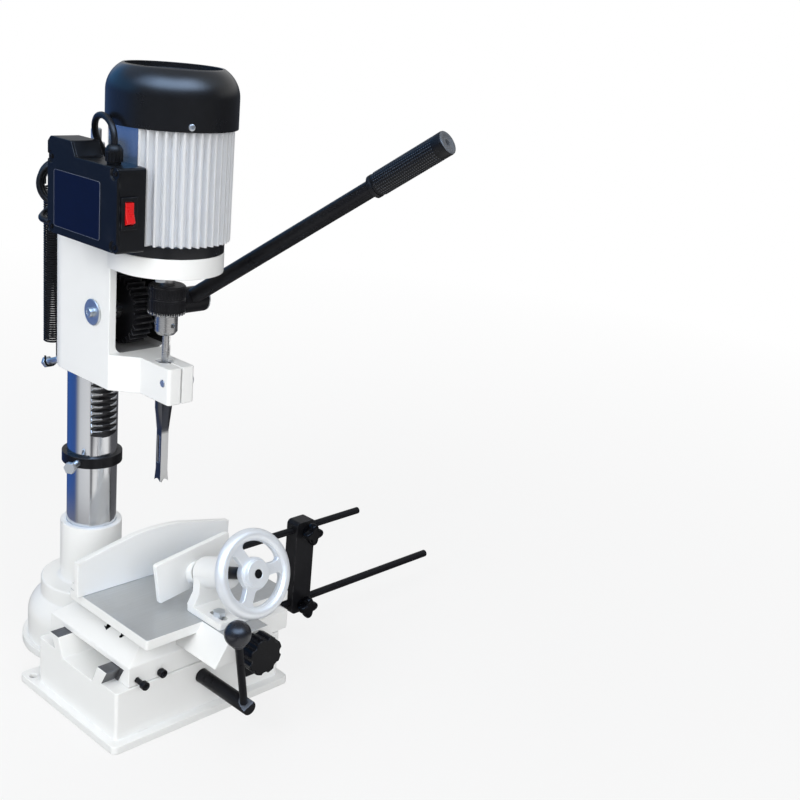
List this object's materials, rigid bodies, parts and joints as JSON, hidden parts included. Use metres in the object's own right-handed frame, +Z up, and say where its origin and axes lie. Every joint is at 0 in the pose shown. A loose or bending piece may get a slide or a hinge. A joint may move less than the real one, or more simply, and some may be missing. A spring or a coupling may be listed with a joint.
{
  "type": "bench mortising machine",
  "caption": "Bench mortiser: column with rack, lever-fed head with motor, chuck and square hollow chisel, cross slide table with fence, handwheel clamp and work stop.",
  "frame": {"origin": "column axis on the underside of the base", "axes": "+Z up along the column, -Y towards the operator, +X to the operator's right"},
  "size_m": [0.5905, 0.4996, 0.7246],
  "materials": {
    "cream_paint": "gloss",
    "black_paint": "satin",
    "silver_paint": "hammered",
    "polished_steel": "polished",
    "tool_steel": "ground",
    "black_oxide": "oiled",
    "zinc": "plated",
    "ground_iron": "ground",
    "bare_aluminium": "cast",
    "laminations": "varnished",
    "black_plastic": "textured",
    "knob_plastic": "gloss",
    "red_plastic": "gloss",
    "grip_rubber": "dimpled",
    "cord_rubber": "smooth",
    "brass": "plain"
  },
  "bodies": {
    "base": {"base_casting": "cream_paint", "column": "polished_steel", "column_cap": "zinc", "spring_stud": "zinc", "hex_nuts": "zinc", "spring_arm": "cream_paint", "lower_stop_rod": "black_oxide"},
    "head": {"head_casting": "cream_paint", "head_bolts": "zinc", "spring_bolt": "zinc", "motor_end_shield": "black_paint", "motor_housing": "bare_aluminium", "motor_stator": "laminations", "motor_bearings": "polished_steel", "fan_cover": "black_paint", "pan_screws": "zinc", "switch_box": "black_plastic", "box_lid": "black_plastic", "switch_bezel": "black_plastic", "cord_gland": "black_plastic", "power_cord": "cord_rubber", "cord_hank": "cord_rubber", "plug_body": "cord_rubber", "plug_pins": "brass", "return_spring": "black_oxide", "mortise_chisel": "tool_steel"},
    "feed_handle": {"pinion_shaft": "polished_steel", "drive_pinion": "black_oxide", "lever_hub": "black_oxide", "lever_bar": "black_oxide", "lever_grip": "grip_rubber", "shaft_end_screws": "zinc"},
    "spindle": {"motor_shaft": "polished_steel", "cooling_fan": "black_plastic", "chuck_sleeve": "black_oxide", "chuck_body": "polished_steel", "auger_bit": "tool_steel"},
    "collar": {"depth_collar": "black_oxide", "collar_bolt": "zinc"},
    "saddle": {"saddle": "cream_paint", "saddle_gib": "polished_steel", "gib_screws": "black_oxide", "feed_rack": "polished_steel"},
    "ball_lever": {"feed_shaft": "black_oxide", "feed_lever": "black_oxide", "feed_ball": "knob_plastic"},
    "table": {"table": "ground_iron", "fence": "cream_paint", "table_bolts": "zinc", "clamp_bracket": "cream_paint"},
    "cross_knob": {"cross_screw": "polished_steel", "star_knob": "knob_plastic"},
    "clamp_plate": {"clamp_plate": "cream_paint"},
    "clamp_wheel": {"clamp_screw": "black_oxide", "handwheel": "silver_paint"},
    "stop_block": {"stop_block": "black_oxide"},
    "stop_rod": {"upper_stop_rod": "black_oxide"},
    "upper_knob": {"upper_stop_knob": "knob_plastic"},
    "lower_knob": {"lower_stop_knob": "knob_plastic"},
    "rocker": {"rocker_switch": "red_plastic"}
  },
  "joints": [
    {"name": "head_slide", "type": "slide", "parent": "base", "child": "head", "axis": [0, 0, 1], "range_m": [-0.06, 0], "stiffness_N_per_m": 500, "springref_m": 0.51, "deforming": ["return_spring"]},
    {"name": "handle_turn", "type": "hinge", "parent": "head", "child": "feed_handle", "pos_m": [0.0866, -0.0645, 0.448], "axis": [1, 0, 0], "range_deg": [0, 91.7]},
    {"name": "spindle_spin", "type": "hinge", "parent": "head", "child": "spindle", "pos_m": [0, -0.1427, 0.5], "axis": [0, 0, 1], "continuous": true},
    {"name": "rocker_tip", "type": "hinge", "parent": "head", "child": "rocker", "pos_m": [-0.0805, -0.1825, 0.5825], "axis": [1, 0, 0], "range_deg": [0, 18]},
    {"name": "collar_slide", "type": "slide", "parent": "base", "child": "collar", "axis": [0, 0, 1], "range_m": [-0.07, 0.045]},
    {"name": "saddle_slide", "type": "slide", "parent": "base", "child": "saddle", "axis": [1, 0, 0], "range_m": [-0.036, 0.007]},
    {"name": "ball_lever_turn", "type": "hinge", "parent": "base", "child": "ball_lever", "pos_m": [0, -0.157, 0.05], "axis": [0, 1, 0], "range_deg": [-73.8, 14.4]},
    {"name": "table_slide", "type": "slide", "parent": "saddle", "child": "table", "axis": [0, 1, 0], "range_m": [-0.025, 0.03]},
    {"name": "star_knob_turn", "type": "hinge", "parent": "table", "child": "cross_knob", "pos_m": [0.0152, -0.3, 0.112], "axis": [0, 1, 0], "range_deg": [-2251, 2701]},
    {"name": "clamp_slide", "type": "slide", "parent": "table", "child": "clamp_plate", "axis": [0, 0.9336, -0.3584], "range_m": [-0.0056, 0.0141]},
    {"name": "handwheel_turn", "type": "hinge", "parent": "clamp_plate", "child": "clamp_wheel", "pos_m": [0.0152, -0.3045, 0.2045], "axis": [0, 0.9336, -0.3584], "range_deg": [-495, 1260]},
    {"name": "stop_slide", "type": "slide", "parent": "base", "child": "stop_block", "axis": [1, 0, 0], "range_m": [-0.015, 0.12]},
    {"name": "stop_rod_slide", "type": "slide", "parent": "stop_block", "child": "stop_rod", "axis": [1, 0, 0], "range_m": [-0.015, 0.06]},
    {"name": "upper_knob_turn", "type": "hinge", "parent": "stop_block", "child": "upper_knob", "pos_m": [0.2155, -0.17, 0.15], "axis": [0, 1, 0], "range_deg": [-180, 0]},
    {"name": "lower_knob_turn", "type": "hinge", "parent": "stop_block", "child": "lower_knob", "pos_m": [0.2155, -0.17, 0.0454], "axis": [0, 1, 0], "range_deg": [-180, 0]}
  ],
  "couplings": [
    {"joint": "handle_turn", "follows": "head_slide", "rad_per_m": -26.667},
    {"joint": "ball_lever_turn", "follows": "saddle_slide", "rad_per_m": 35.714},
    {"joint": "star_knob_turn", "follows": "table_slide", "rad_per_m": 1570.8},
    {"joint": "clamp_slide", "follows": "handwheel_turn", "m_per_rad": 0.00063662}
  ]
}
